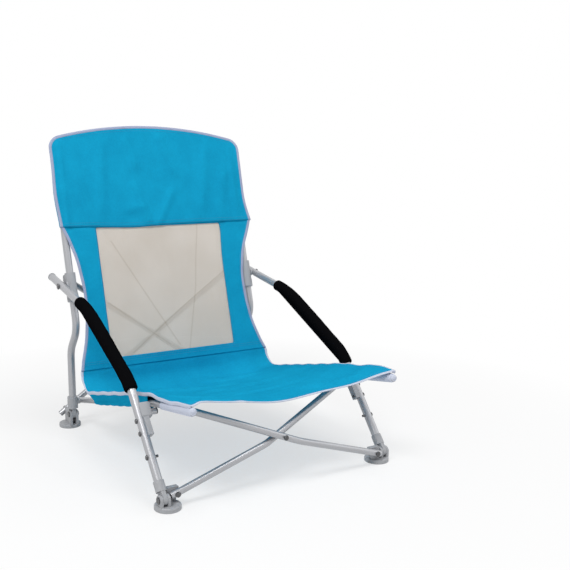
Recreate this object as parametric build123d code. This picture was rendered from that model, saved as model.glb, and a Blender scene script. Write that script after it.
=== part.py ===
"""Folding camp chair: a low sling chair on a steel tube frame that folds like an umbrella.

The chair faces -Y, +X is on the viewer's right, +Z is up and the floor is at Z = 0.
Every size is in millimetres. Side pieces are drawn on the right and mirrored to the left.
"""

import os
from math import atan2, cos, degrees, radians, sin

from build123d import *

# Tube stock
MAIN_R = 8.0
MAIN_WALL = 1.2
CROSS_R = 6.5
CROSS_WALL = 1.0

# Fits: a pin in a turning part, a plug or pin in its own part, a slide, two bodies side by side
RUNNING_FIT = 0.06
SEAT_FIT = 0.05
SLIDE_FIT = 0.4
APART = 0.4

# Places across the chair, from its middle
UPRIGHT_X = 220.0
ARM_X = 241.0
REAR_PIVOT_X = 222.0
FRONT_PIVOT_X = 214.0
RAIL_REAR_X = 197.0
RAIL_FRONT_X = 213.0

# Feet
FOOT_R = 24.0
FOOT_HEIGHT = 9.0
FOOT_PIN_R = 4.0
EYE_R = 9.0
EYE_HALF = 4.0
CHEEK = 5.0
FRONT_PIN_Y, FRONT_PIN_Z = -257.0, 20.0
FRONT_DISC_X, FRONT_DISC_Y = 231.0, -252.0
REAR_PIN_Y, REAR_PIN_Z = 251.0, 32.0
REAR_DISC_Y = 268.0
HEAD_R = 6.0
HEAD_T = 2.0

# Back upright: straight foot, jog, reclined upper run
UPRIGHT_FOOT_Z = 50.0
JOG_LOW_Z, JOG_HIGH_Z = 178.0, 232.0
UPRIGHT_TOP_Z = 608.0
RECLINE_Y, RECLINE_Z, RECLINE_SLOPE = 231.0, 319.0, 0.28
JOG_BEND = 48.0
RECLINE = degrees(atan2(RECLINE_SLOPE, 1.0))

# Arm and front leg in one tube: leg, grip run, rear run
LEG_ANGLE = 52.0
LEG_TOP_Y = -122.0
GRIP_ANGLE, GRIP_END_Y = 27.5, 75.0
ARM_ANGLE, ARM_END_Y = 10.5, 296.0
LEG_BEND, ARM_BEND = 120.0, 330.0
FOAM_R, FOAM_LOW_Z = 12.5, 178.0

# Cross tubes
PIVOT_R = 3.0
REAR_CROSS_Y, REAR_LAYER = 282.0, 7.5
REAR_LOW_Z, REAR_HIGH_Z, REAR_SHORT = 34.0, 336.0, 6.0
FRONT_CROSS_Y, FRONT_LAYER = -260.0, 9.0
FRONT_LOW_Z = 24.0
FRONT_BEND_X, FRONT_BEND_Z = 30.0, 81.0
FRONT_TOP_X, FRONT_TOP_Z, FRONT_LEAN = 188.0, 164.0, 52.0
FRONT_BEND = 60.0

# Side rail
RAIL_PIN_Y, RAIL_PIN_Z = 251.0, 60.0
RAIL_KNEE_Y, RAIL_KNEE_Z = -158.0, 160.0
RAIL_TIP_Y, RAIL_TIP_Z = -312.0, 185.0
RAIL_BEND = 150.0
SLEEVE_REAR, SLEEVE_FRONT = 112.0, 14.0

# Leg bracket and the stub under the rail
STUB_Z, STUB_R, STUB_END_X = 146.0, 6.0, 207.5
LEG_RIVET_Z = (135.0, 116.0, 81.0)

# Cloth
CLOTH = 1.5
BINDING_R = 2.2
HOOD_HALF_DEPTH = 12.75
HOOD_LOW_HALF, HOOD_TOP_HALF, HOOD_CORNER, HOOD_CROWN = 230.5, 233.0, 325.0, 357.0
HOOD_HEM, HOOD_ROUND = 133.0, 28.0
BACK_LOW, BACK_WAIST, BACK_SAG = -185.0, -8.0, 10.0
BACK_TOP_HALF, BACK_WAIST_HALF, BACK_LOW_HALF, BACK_SAG_HALF = 229.5, 197.0, 231.0, 235.0
MESH_HALF, MESH_LOW, MESH_HIGH, MESH_CORNER = 150.0, -160.0, 128.0, 4.0
SEAT_FRONT_MID_Y, SEAT_FRONT_MID_Z = -251.0, 159.0
# Corners of the seat's side edge as depth and height, front first, and the radii at the inner two
SEAT_EDGE = ((-317.0, 197.0), (-160.0, 181.0), (150.0, 108.0), (172.0, 146.0))
SEAT_BENDS = (300.0, 32.0)
SEAT_FRONT_HALF, SEAT_REAR_HALF = 217.0, 231.0
SEAT_FRONT_SAG, SEAT_REAR_SAG, SEAT_RIBS = 37.0, 10.0, 19
POCKET_START, POCKET_ROOM = 38.0, 0.5

# Middle of the chair's depth, which the finished pieces have at Y = 0
DEPTH_MIDDLE = 9.35

BOTTOM = (Align.CENTER, Align.CENTER, Align.MIN)


def rod(start, end, radius):
    """Round bar from one point to another."""
    axis = Vector(*end) - Vector(*start)
    return Plane(origin=start, z_dir=axis) * Cylinder(radius, axis.length, align=BOTTOM)


def block(low, high):
    """Box between two corners."""
    size = [b - a for a, b in zip(low, high)]
    middle = [(a + b) / 2 for a, b in zip(low, high)]
    return Pos(*middle) * Box(*size)


def sweep_ring(path, outer, inner):
    """Hollow tube along a path."""
    ring = Circle(outer) - Circle(inner)
    return sweep(Plane(path @ 0, z_dir=path % 0) * ring, path=path)


def sweep_round(path, radius):
    """Solid round cord along a path."""
    return sweep(Plane(path @ 0, z_dir=path % 0) * Circle(radius), path=path)


def end_plug(tip, direction, tube_r, wall, lip=0.6, head=3.5):
    """Plastic plug in a tube's end, with a rounded head that stands out along the direction."""
    along = Plane(origin=tip, z_dir=direction)
    knob = Cylinder(tube_r + lip, head, align=BOTTOM)
    knob = fillet(knob.edges().sort_by(Axis.Z)[-1:], head * 0.5)
    shank = Pos(0, 0, -12) * Cylinder(tube_r - wall - SEAT_FIT, 12, align=BOTTOM)
    return along * (knob + shank)


def upright_y(z):
    """Depth of the upright's reclined run at a height."""
    return RECLINE_Y + (z - RECLINE_Z) * RECLINE_SLOPE


def recline_plane(x, z):
    """Frame on the reclined run: local z runs up the tube and local y to the rear."""
    up = (0, sin(radians(RECLINE)), cos(radians(RECLINE)))
    return Plane(origin=(x, upright_y(z), z), x_dir=(1, 0, 0), z_dir=up)


def leg_point(z):
    """Point on the leg's axis at a height."""
    return (ARM_X, FRONT_PIN_Y + (z - FRONT_PIN_Z) / sin(radians(LEG_ANGLE)) * cos(radians(LEG_ANGLE)), z)


def leg_plane(z):
    """Frame on the leg: local z runs up the tube and local y to the rear and down."""
    up = (0, cos(radians(LEG_ANGLE)), sin(radians(LEG_ANGLE)))
    return Plane(origin=leg_point(z), x_dir=(1, 0, 0), z_dir=up)


def slope_point(start, angle, y):
    """Point in the arm's plane at a depth, up a slope from the start."""
    return (ARM_X, y, start[2] + (y - start[1]) * sin(radians(angle)) / cos(radians(angle)))


def arm_points():
    """Corner points of the arm and leg: pin, leg's top, end of the grip run, rear end."""
    pin = (ARM_X, FRONT_PIN_Y, FRONT_PIN_Z)
    leg_top = slope_point(pin, LEG_ANGLE, LEG_TOP_Y)
    grip_end = slope_point(leg_top, GRIP_ANGLE, GRIP_END_Y)
    rear_end = slope_point(grip_end, ARM_ANGLE, ARM_END_Y)
    return pin, leg_top, grip_end, rear_end


def step_along(start, end, distance):
    """Point at a distance from the start towards the end."""
    line = Vector(*end) - Vector(*start)
    return tuple(Vector(*start) + line.normalized() * distance)


def arm_pivot():
    """Point where the arm turns on its bracket."""
    _, _, grip_end, _ = arm_points()
    return slope_point(grip_end, ARM_ANGLE, RECLINE_Y)


def rail_x(y):
    """The rails spread a little towards the front."""
    share = (RAIL_PIN_Y - y) / (RAIL_PIN_Y - RAIL_TIP_Y)
    return RAIL_REAR_X + (RAIL_FRONT_X - RAIL_REAR_X) * share


def rail_points():
    """Pin, knee and tip of the side rail."""
    pin = (rail_x(RAIL_PIN_Y), RAIL_PIN_Y, RAIL_PIN_Z)
    knee = (rail_x(RAIL_KNEE_Y), RAIL_KNEE_Y, RAIL_KNEE_Z)
    tip = (rail_x(RAIL_TIP_Y), RAIL_TIP_Y, RAIL_TIP_Z)
    return pin, knee, tip


def foot_disc(x, y):
    """Round foot plate with a soft rim."""
    disc = Pos(x, y, 0) * Cylinder(FOOT_R, FOOT_HEIGHT, align=BOTTOM)
    disc = fillet(disc.edges().sort_by(Axis.Z)[-1:], 3.0)
    return chamfer(disc.edges().sort_by(Axis.Z)[:1], 0.8)


def fork(x, pin_y, pin_z, reach):
    """Two cheeks on a foot plate round a boot's eye, bored for the foot pin."""
    cheeks = Part()
    for side in (-1, 1):
        near = x + side * (EYE_HALF + APART)
        far = near + side * CHEEK
        low, high = min(near, far), max(near, far)
        cheeks += rod((low, pin_y, pin_z), (high, pin_y, pin_z), EYE_R)
        cheeks += block((low, pin_y - EYE_R, FOOT_HEIGHT - 1), (high, pin_y + reach, pin_z))
    return cheeks - rod((x - 20, pin_y, pin_z), (x + 20, pin_y, pin_z), FOOT_PIN_R + SEAT_FIT)


def foot_pin(x, pin_y, pin_z):
    """Pin with two heads through a fork and a boot's eye."""
    half = EYE_HALF + APART + CHEEK
    pin = rod((x - half, pin_y, pin_z), (x + half, pin_y, pin_z), FOOT_PIN_R)
    for side in (-1, 1):
        pin += rod((x + side * half, pin_y, pin_z), (x + side * (half + HEAD_T), pin_y, pin_z), HEAD_R)
    return pin


def boot(plane, eye_drop, collar_r, collar_start, socket_start, collar_end):
    """Moulded collar on a tube's lower end with an eye below it, drawn along the tube."""
    collar = Pos(0, 0, collar_start) * Cylinder(collar_r, collar_end - collar_start, align=BOTTOM)
    collar = fillet(collar.edges().sort_by(Axis.Z)[-1:], 1.2)
    tongue = block((-EYE_HALF, -EYE_R, eye_drop), (EYE_HALF, EYE_R, collar_start + 1))
    eye = rod((-EYE_HALF, 0, eye_drop), (EYE_HALF, 0, eye_drop), EYE_R)
    bore = rod((-20, 0, eye_drop), (20, 0, eye_drop), FOOT_PIN_R + RUNNING_FIT)
    socket = Pos(0, 0, socket_start) * Cylinder(MAIN_R + SEAT_FIT, collar_end, align=BOTTOM)
    return plane * (collar + tongue + eye - bore - socket)


def rear_foot(lug_end):
    """Rear foot: plate, fork, and a rear wall that carries the cross tube's pin."""
    wall_start = REAR_PIN_Y + EYE_R + 0.6
    foot = foot_disc(REAR_PIVOT_X, REAR_DISC_Y)
    foot += fork(UPRIGHT_X, REAR_PIN_Y, REAR_PIN_Z, EYE_R + 2)
    low, high = UPRIGHT_X - EYE_HALF - APART - CHEEK, UPRIGHT_X + EYE_HALF + APART + CHEEK
    foot += block((low, wall_start, FOOT_HEIGHT - 1), (high, wall_start + 6, REAR_LOW_Z))
    foot += rod((REAR_PIVOT_X, wall_start, REAR_LOW_Z), (REAR_PIVOT_X, lug_end, REAR_LOW_Z), 7.0)
    foot += block((REAR_PIVOT_X - 6, wall_start, FOOT_HEIGHT - 1), (REAR_PIVOT_X + 6, lug_end, 30.0))
    bore_start = (REAR_PIVOT_X, wall_start + 1, REAR_LOW_Z)
    return foot - rod(bore_start, (REAR_PIVOT_X, lug_end + 1, REAR_LOW_Z), PIVOT_R + SEAT_FIT)


def front_foot(lug_start):
    """Front foot: plate, fork, and an inner lug behind the cross tube's lower end."""
    lug_low, lug_high = FRONT_PIVOT_X - 8, ARM_X - 12
    foot = foot_disc(FRONT_DISC_X, FRONT_DISC_Y) + fork(ARM_X, FRONT_PIN_Y, FRONT_PIN_Z, EYE_R)
    foot += block((lug_low, lug_start, 14), (lug_high, lug_start + 10, 33))
    foot += block((FRONT_DISC_X - 20, lug_start, FOOT_HEIGHT - 1), (lug_high, lug_start + 10, 20))
    bore = rod((FRONT_PIVOT_X, lug_start - 1, FRONT_LOW_Z), (FRONT_PIVOT_X, lug_start + 8, FRONT_LOW_Z), 3.05)
    return foot - bore


def cross_pin(x, z, anchor, tube_y, head_side):
    """Pivot pin of a cross tube, from its foot through the tube, with a head past the tube."""
    face = tube_y + head_side * (CROSS_R + 0.3)
    pin = rod((x, anchor, z), (x, face, z), PIVOT_R)
    return pin + rod((x, face, z), (x, face + head_side * HEAD_T, z), 5.0)


def pivot_hole(x, y, z):
    """Drill through a cross tube for the pin it turns on."""
    return rod((x, y - 9, z), (x, y + 9, z), PIVOT_R + RUNNING_FIT)


def upright():
    """Back upright with its jog."""
    points = (
        (UPRIGHT_X, REAR_PIN_Y, UPRIGHT_FOOT_Z),
        (UPRIGHT_X, REAR_PIN_Y, JOG_LOW_Z),
        (UPRIGHT_X, upright_y(JOG_HIGH_Z), JOG_HIGH_Z),
        (UPRIGHT_X, upright_y(UPRIGHT_TOP_Z), UPRIGHT_TOP_Z),
    )
    return sweep_ring(FilletPolyline(*points, radius=JOG_BEND), MAIN_R, MAIN_R - MAIN_WALL)


def upright_cap():
    """Plug in the upright's top end."""
    tip = (UPRIGHT_X, upright_y(UPRIGHT_TOP_Z), UPRIGHT_TOP_Z)
    return end_plug(tip, recline_plane(0, UPRIGHT_TOP_Z).z_dir, MAIN_R, MAIN_WALL)


def upright_boot():
    """Boot on the upright's lower end, with a boss for the rail pin."""
    plane = Plane(origin=(UPRIGHT_X, REAR_PIN_Y, 0), x_dir=(1, 0, 0), z_dir=(0, 0, 1))
    shape = boot(plane, REAR_PIN_Z, 11.5, 46.0, UPRIGHT_FOOT_Z, 72.0)
    boss_end = RAIL_REAR_X + CROSS_R + 0.7
    shape += rod((UPRIGHT_X - 8.6, RAIL_PIN_Y, RAIL_PIN_Z), (boss_end, RAIL_PIN_Y, RAIL_PIN_Z), 6.5)
    hole = rod((UPRIGHT_X - 8.8, RAIL_PIN_Y, RAIL_PIN_Z), (boss_end - 1, RAIL_PIN_Y, RAIL_PIN_Z), 3.05)
    return shape - hole


def rail_pin():
    """Pivot pin of the side rail with its inner head."""
    start = (UPRIGHT_X - 8.9, RAIL_PIN_Y, RAIL_PIN_Z)
    face = RAIL_REAR_X - CROSS_R - 0.4
    pin = rod(start, (face, RAIL_PIN_Y, RAIL_PIN_Z), PIVOT_R)
    return pin + rod((face, RAIL_PIN_Y, RAIL_PIN_Z), (face - HEAD_T, RAIL_PIN_Y, RAIL_PIN_Z), 5.0)


def arm_bracket():
    """Slide on the upright: collar, lower lip, boss for the arm and rear ear for the cross tube."""
    pivot = arm_pivot()
    plane = recline_plane(UPRIGHT_X, pivot[2])
    collar = Pos(0, 0, -4) * Cylinder(11.6, 62)
    lip = Pos(0, 0, -27) * Cylinder(12.4, 18)
    lip = fillet(lip.edges().sort_by(Axis.Z)[:1], 3.0)
    ear = block((-6, 0, 8), (8, 25.5, 26))
    ear = fillet(ear.edges().filter_by(Axis.X).sort_by(Axis.Y)[-2:], 5.0)
    shape = plane * (collar + lip + ear)
    boss_end = ARM_X - MAIN_R - APART
    shape += rod((UPRIGHT_X + 9, pivot[1], pivot[2]), (boss_end, pivot[1], pivot[2]), 9.0)
    shape -= plane * Cylinder(MAIN_R + SLIDE_FIT, 90)
    return shape - rod((UPRIGHT_X + 8.6, pivot[1], pivot[2]), (ARM_X, pivot[1], pivot[2]), PIVOT_R + SEAT_FIT)


def arm_rivet():
    """Pivot rivet of the arm with its outer head."""
    _, y, z = arm_pivot()
    face = ARM_X + MAIN_R + 0.3
    rivet = rod((UPRIGHT_X + 8.7, y, z), (face, y, z), PIVOT_R)
    head = rod((face, y, z), (face + 2.4, y, z), 6.5)
    return rivet + fillet(head.edges().sort_by(Axis.X)[-1:], 1.6)


def arm_leg():
    """Arm and front leg in one bent tube, bored for its rivets."""
    pin, leg_top, grip_end, rear_end = arm_points()
    foot = step_along(pin, leg_top, 20.0)
    path = FilletPolyline(foot, leg_top, grip_end, rear_end, radius=(LEG_BEND, ARM_BEND))
    tube = sweep_ring(path, MAIN_R, MAIN_R - MAIN_WALL)
    _, y, z = arm_pivot()
    tube -= rod((ARM_X - 15, y, z), (ARM_X + 15, y, z), PIVOT_R + RUNNING_FIT)
    for height in LEG_RIVET_Z:
        _, y, z = leg_point(height)
        tube -= rod((ARM_X - 15, y, z), (ARM_X + 15, y, z), 2.5 + SEAT_FIT)
    return tube


def foam_grip():
    """Foam sleeve round the bend of the arm."""
    pin, leg_top, grip_end, rear_end = arm_points()
    start = step_along(leg_top, pin, 28.0)
    end = step_along(grip_end, rear_end, 52.0)
    path = FilletPolyline(start, leg_top, grip_end, end, radius=(LEG_BEND, ARM_BEND))
    below = leg_plane(FOAM_LOW_Z) * Pos(0, 0, -20) * Box(60, 60, 40)
    return sweep_ring(path, FOAM_R, MAIN_R + 0.1) - below


def arm_end_cap():
    """Plug in the arm's rear end."""
    _, _, grip_end, rear_end = arm_points()
    return end_plug(rear_end, Vector(*rear_end) - Vector(*grip_end), MAIN_R, MAIN_WALL)


def leg_boot():
    """Boot on the leg's lower end."""
    return boot(leg_plane(FRONT_PIN_Z), 0.0, 9.8, 14.0, 20.0, 34.0)


def leg_bracket():
    """Saddle block on the inner side of the leg, bored for two rivets and the rest stub."""
    plane = leg_plane(STUB_Z)
    head = block((-22, -8.5, -10), (-2, 8.5, 18))
    head = fillet(head.edges().filter_by(Axis.X), 3.0)
    tail = block((-15, -7, -44), (-2, 7, -8))
    shape = plane * (head + tail - Cylinder(MAIN_R + SEAT_FIT, 200))
    _, y, z = leg_point(STUB_Z)
    shape -= rod((ARM_X - 30, y, z), (ARM_X - 13, y, z), STUB_R + SEAT_FIT)
    for height in LEG_RIVET_Z[:2]:
        _, y, z = leg_point(height)
        shape -= rod((ARM_X - 40, y, z), (ARM_X, y, z), 2.5 + SEAT_FIT)
    return shape


def leg_rivets():
    """Three rivets through the leg, two of them through the bracket, as separate solids."""
    rivets = []
    for height, inner in zip(LEG_RIVET_Z, (-17.0, -17.0, -13.0)):
        _, y, z = leg_point(height)
        face = ARM_X + MAIN_R
        shank = rod((ARM_X + inner, y, z), (face, y, z), 2.5)
        head = rod((face, y, z), (face + 2.2, y, z), 4.6)
        rivets.append(shank + fillet(head.edges().sort_by(Axis.X)[-1:], 1.5))
    return Compound(rivets)


def rest_stub():
    """Short tube on the leg bracket, under the rail."""
    _, y, z = leg_point(STUB_Z)
    bar = rod((ARM_X - 13.2, y, z), (STUB_END_X, y, z), STUB_R)
    return bar - rod((ARM_X - 20, y, z), (STUB_END_X - 1, y, z), STUB_R - 1.0)


def rest_stub_cap():
    """Black plug in the rest stub's inner end."""
    _, y, z = leg_point(STUB_Z)
    return end_plug((STUB_END_X, y, z), (-1, 0, 0), STUB_R, 1.0, lip=0.0, head=2.5)


def front_run(layer):
    """Ends of a front cross tube's upper run: its bend and its tip beside the far leg."""
    y = FRONT_CROSS_Y + layer
    return (FRONT_BEND_X, y, FRONT_BEND_Z), (-FRONT_TOP_X, y + FRONT_LEAN, FRONT_TOP_Z)


def front_tube(layer):
    """Front cross tube from the right foot to the left, bent past the middle and leaning back above it."""
    y = FRONT_CROSS_Y + layer
    bend, top = front_run(layer)
    foot = step_along((FRONT_PIVOT_X, y, FRONT_LOW_Z), bend, -11.0)
    tube = sweep_ring(FilletPolyline(foot, bend, top, radius=FRONT_BEND), CROSS_R, CROSS_R - CROSS_WALL)
    return tube - pivot_hole(FRONT_PIVOT_X, y, FRONT_LOW_Z)


def front_crossing(layer):
    """Middle point of a front cross tube's axis, where the other tube passes."""
    bend, top = front_run(layer)
    share = FRONT_BEND_X / (FRONT_BEND_X + FRONT_TOP_X)
    _, y, z = Vector(*bend) + (Vector(*top) - Vector(*bend)) * share
    return (0.0, y, z)


def front_tube_cap(layer):
    """Plug in the upper end of a front cross tube."""
    bend, top = front_run(layer)
    return end_plug(top, Vector(*top) - Vector(*bend), CROSS_R, CROSS_WALL, lip=0.0, head=2.5)


def front_rivet():
    """Rivet at the front crossing, in the tube that lies in front."""
    x, y, z = front_crossing(-FRONT_LAYER)
    face = y - CROSS_R - 2.4
    rivet = rod((x, face, z), (x, y + CROSS_R + 1.5, z), PIVOT_R)
    head = rod((x, face, z), (x, face - 2.2, z), 5.0)
    return rivet + fillet(head.edges().sort_by(Axis.Y)[:1], 1.4)


def rear_tube(layer):
    """Rear cross tube from the right foot up to the left bracket."""
    y = REAR_CROSS_Y + layer
    low = (REAR_PIVOT_X, y, REAR_LOW_Z)
    high = (-REAR_PIVOT_X, y, REAR_HIGH_Z)
    start, end = step_along(low, high, -18.0), step_along(high, low, REAR_SHORT)
    tube = rod(start, end, CROSS_R) - rod(start, end, CROSS_R - CROSS_WALL)
    return tube - pivot_hole(REAR_PIVOT_X, y, REAR_LOW_Z)


def rear_tube_cap(layer):
    """Plug in the upper end of a rear cross tube."""
    y = REAR_CROSS_Y + layer
    low = (REAR_PIVOT_X, y, REAR_LOW_Z)
    high = (-REAR_PIVOT_X, y, REAR_HIGH_Z)
    return end_plug(step_along(high, low, REAR_SHORT), Vector(*high) - Vector(*low), CROSS_R, CROSS_WALL)


def rear_middle():
    """Height of the rear crossing."""
    return (REAR_LOW_Z + REAR_HIGH_Z) / 2


def rear_rivet():
    """Rivet through both rear cross tubes at their crossing."""
    front = REAR_CROSS_Y - REAR_LAYER - CROSS_R - 0.4
    rear = REAR_CROSS_Y + REAR_LAYER + CROSS_R + 0.4
    z = rear_middle()
    rivet = rod((0, front, z), (0, rear, z), PIVOT_R)
    rivet += rod((0, front - HEAD_T, z), (0, front, z), 5.0)
    return rivet + rod((0, rear, z), (0, rear + HEAD_T, z), 5.0)


def crossing_hole(radius):
    """Drill through the rear crossing."""
    z = rear_middle()
    return rod((0, REAR_CROSS_Y - 30, z), (0, REAR_CROSS_Y + 30, z), radius)


def side_rail():
    """Side rail with a slight bend at the leg, bored for its pin."""
    pin, knee, tip = rail_points()
    path = FilletPolyline(step_along(pin, knee, -13.0), knee, tip, radius=RAIL_BEND)
    tube = sweep_ring(path, CROSS_R, CROSS_R - CROSS_WALL)
    x, y, z = pin
    return tube - rod((x - 12, y, z), (x + 12, y, z), PIVOT_R + RUNNING_FIT)


def rail_cap():
    """Plug in the rail's front end."""
    _, knee, tip = rail_points()
    return end_plug(tip, Vector(*tip) - Vector(*knee), CROSS_R, CROSS_WALL, lip=0.0, head=2.5)


def corner_pocket():
    """Cup of tape under the seat's front corner, round the rail's tip."""
    _, knee, tip = rail_points()
    inner = CROSS_R + POCKET_ROOM
    start, end = step_along(knee, tip, POCKET_START), step_along(tip, knee, -4.2)
    cup = rod(start, end, inner + 1.2)
    return cup - rod(step_along(start, end, -1.0), step_along(end, start, 1.2), inner)


def side_sleeve():
    """Cloth sleeve under the seat's side, round the rail."""
    pin, knee, _ = rail_points()
    start, end = step_along(pin, knee, SLEEVE_REAR), step_along(knee, pin, SLEEVE_FRONT)
    return rod(start, end, CROSS_R + 1.7) - rod(start, end, CROSS_R + 0.7)


def hood_outline(inset):
    """Hood's outline on the recline plane, seen from the front, with rounded upper corners."""
    low, top = HOOD_LOW_HALF - inset, HOOD_TOP_HALF - inset
    corner, crown = HOOD_CORNER - inset, HOOD_CROWN - inset
    hem = HOOD_HEM - 20 * (inset > 0)
    sides = Polyline((-top, corner), (-low, hem), (low, hem), (top, corner))
    face = make_face([*sides.edges(), ThreePointArc((top, corner), (0, crown), (-top, corner))])
    return fillet(face.vertices().sort_by(Axis.Y)[-2:], HOOD_ROUND - inset)


def outline_plane():
    """Plane of the reclined cloth: its x runs across and its y up the back."""
    frame = recline_plane(0, RECLINE_Z)
    return Plane(origin=frame.origin, x_dir=(1, 0, 0), z_dir=-frame.y_dir)


def hood():
    """Pocket of two layers over the tops of the uprights, open below."""
    outer = extrude(outline_plane() * hood_outline(0), HOOD_HALF_DEPTH, both=True)
    inner = extrude(outline_plane() * hood_outline(1.2), HOOD_HALF_DEPTH - CLOTH, both=True)
    return outer - inner


def back_sheet():
    """Sagging sheet of the back before it is cut to shape."""
    edge = -HOOD_HALF_DEPTH
    points = [(BACK_SAG_HALF, edge), (0, edge + BACK_SAG), (-BACK_SAG_HALF, edge)]
    rear = [(x, y + CLOTH) for x, y in points]
    band = make_face(
        [
            ThreePointArc(*points),
            Line(points[2], rear[2]),
            ThreePointArc(*reversed(rear)),
            Line(rear[0], points[0]),
        ]
    )
    frame = recline_plane(0, RECLINE_Z)
    low = Plane(origin=frame.from_local_coords((0, 0, BACK_LOW)), x_dir=frame.x_dir, z_dir=frame.z_dir)
    return extrude(low * band, HOOD_HEM - 0.4 - BACK_LOW)


def waist_arc(side, outset):
    """Curved side edge of the back, from its top down."""
    top, low = HOOD_HEM - 0.4 - outset, BACK_LOW + 2 * outset
    return ThreePointArc(
        (side * (BACK_TOP_HALF + outset), top),
        (side * (BACK_WAIST_HALF + outset), BACK_WAIST),
        (side * (BACK_LOW_HALF + outset), low),
    )


def back_cut():
    """Prism of the back's hourglass outline."""
    right, left = waist_arc(1, 0), waist_arc(-1, 0)
    face = make_face([right, left, Line(right @ 0, left @ 0), Line(right @ 1, left @ 1)])
    return extrude(outline_plane() * face, 60, both=True)


def mesh_cut(inset):
    """Prism of the mesh window with rounded corners."""
    height = MESH_HIGH - MESH_LOW
    window = RectangleRounded(2 * (MESH_HALF - inset), height - 2 * inset, MESH_CORNER)
    return extrude(outline_plane() * (Pos(0, (MESH_HIGH + MESH_LOW) / 2) * window), 60, both=True)


def seat_half(y):
    """Half width of the seat at a depth: it widens behind the legs."""
    knee_y, rear_y = SEAT_EDGE[1][0], SEAT_EDGE[2][0]
    share = min(max((y - knee_y) / (rear_y - knee_y), 0.0), 1.0)
    return SEAT_FRONT_HALF + (SEAT_REAR_HALF - SEAT_FRONT_HALF) * share


def seat_rib(edge, share):
    """Sagging cross section of the seat cloth at a share of its side edge's length."""
    y, z, _ = edge @ share
    run = edge % share
    drop = Vector(0, run.Y, -run.X)
    sag = SEAT_FRONT_SAG + (SEAT_REAR_SAG - SEAT_FRONT_SAG) * share**4
    half = seat_half(y)
    ends = [Vector(half, y, z), Vector(-half, y, z)]
    middle = Vector(0, y, z) + drop * sag
    below = [p + drop * CLOTH for p in (*ends, middle)]
    edges = [
        ThreePointArc(ends[0], middle, ends[1]),
        Line(ends[1], below[1]),
        ThreePointArc(below[1], below[2], below[0]),
        Line(below[0], ends[0]),
    ]
    return make_face(edges)


def seat_panel():
    """Seat cloth, sagging between its sides, with its front edge drawn back."""
    edge = FilletPolyline(*SEAT_EDGE, radius=SEAT_BENDS)
    sheet = loft([seat_rib(edge, rib / (SEAT_RIBS - 1)) for rib in range(SEAT_RIBS)], ruled=True)
    half, front = SEAT_FRONT_HALF + 3, SEAT_EDGE[0][0] + 3
    cut_y, reach = SEAT_FRONT_MID_Y + 4.5, 60.0
    arc = ThreePointArc((-half, front), (0, cut_y), (half, front))
    ahead = Polyline(arc @ 1, (half, front - reach), (-half, front - reach), arc @ 0)
    return sheet - extrude(make_face([arc, *ahead.edges()]), 400, dir=(0, 0, 1))


def hood_binding():
    """Bound edge up the hood's sides and over its top."""
    edges = hood_outline(-BINDING_R - 0.4).edges().sort_by(Axis.Y)[1:]
    return sweep_round(outline_plane().offset(HOOD_HALF_DEPTH - 4) * Wire(edges), BINDING_R)


def back_binding():
    """Bound side edge of the back."""
    edge = outline_plane().offset(HOOD_HALF_DEPTH - 1.6) * waist_arc(1, BINDING_R + 0.4)
    return sweep_round(edge, BINDING_R)


def seat_side_binding():
    """Bound side edge of the seat, as far as its rear bend."""
    outset = BINDING_R + 0.6
    corners = [(seat_half(y) + outset, y, z - 1) for y, z in SEAT_EDGE[:3]]
    start, end = step_along(corners[0], corners[1], 6.0), step_along(corners[2], corners[1], 30.0)
    return sweep_round(FilletPolyline(start, corners[1], end, radius=SEAT_BENDS[0]), BINDING_R)


def seat_front_binding():
    """Bound front edge of the seat and the pockets at its two corners, as separate solids."""
    y, z = SEAT_EDGE[0]
    half = SEAT_FRONT_HALF
    arc = ThreePointArc((-half, y - 2, z - 1), (0, SEAT_FRONT_MID_Y, SEAT_FRONT_MID_Z), (half, y - 2, z - 1))
    return Compound([sweep_round(arc, BINDING_R), corner_pocket(), mirrored(corner_pocket())])


def mirrored(shape):
    """The same piece on the left."""
    return mirror(shape, about=Plane.YZ)


def both_sides(shape):
    """A right piece and its left twin, as two solids."""
    return Compound([shape, mirrored(shape)])


def side_pieces():
    """Pieces that are alike on both sides, drawn on the right."""
    return {
        "upright": upright(),
        "upright_cap": upright_cap(),
        "upright_boot": upright_boot(),
        "arm_bracket": arm_bracket(),
        "arm_rivet": arm_rivet(),
        "arm_leg": arm_leg(),
        "foam_grip": foam_grip(),
        "arm_end_cap": arm_end_cap(),
        "leg_bracket": leg_bracket(),
        "leg_rivets": leg_rivets(),
        "rest_stub": rest_stub(),
        "rest_stub_cap": rest_stub_cap(),
        "leg_boot": leg_boot(),
        "side_rail": side_rail(),
        "rail_pin": rail_pin(),
        "rail_cap": rail_cap(),
        "side_sleeve": side_sleeve(),
    }


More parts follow.
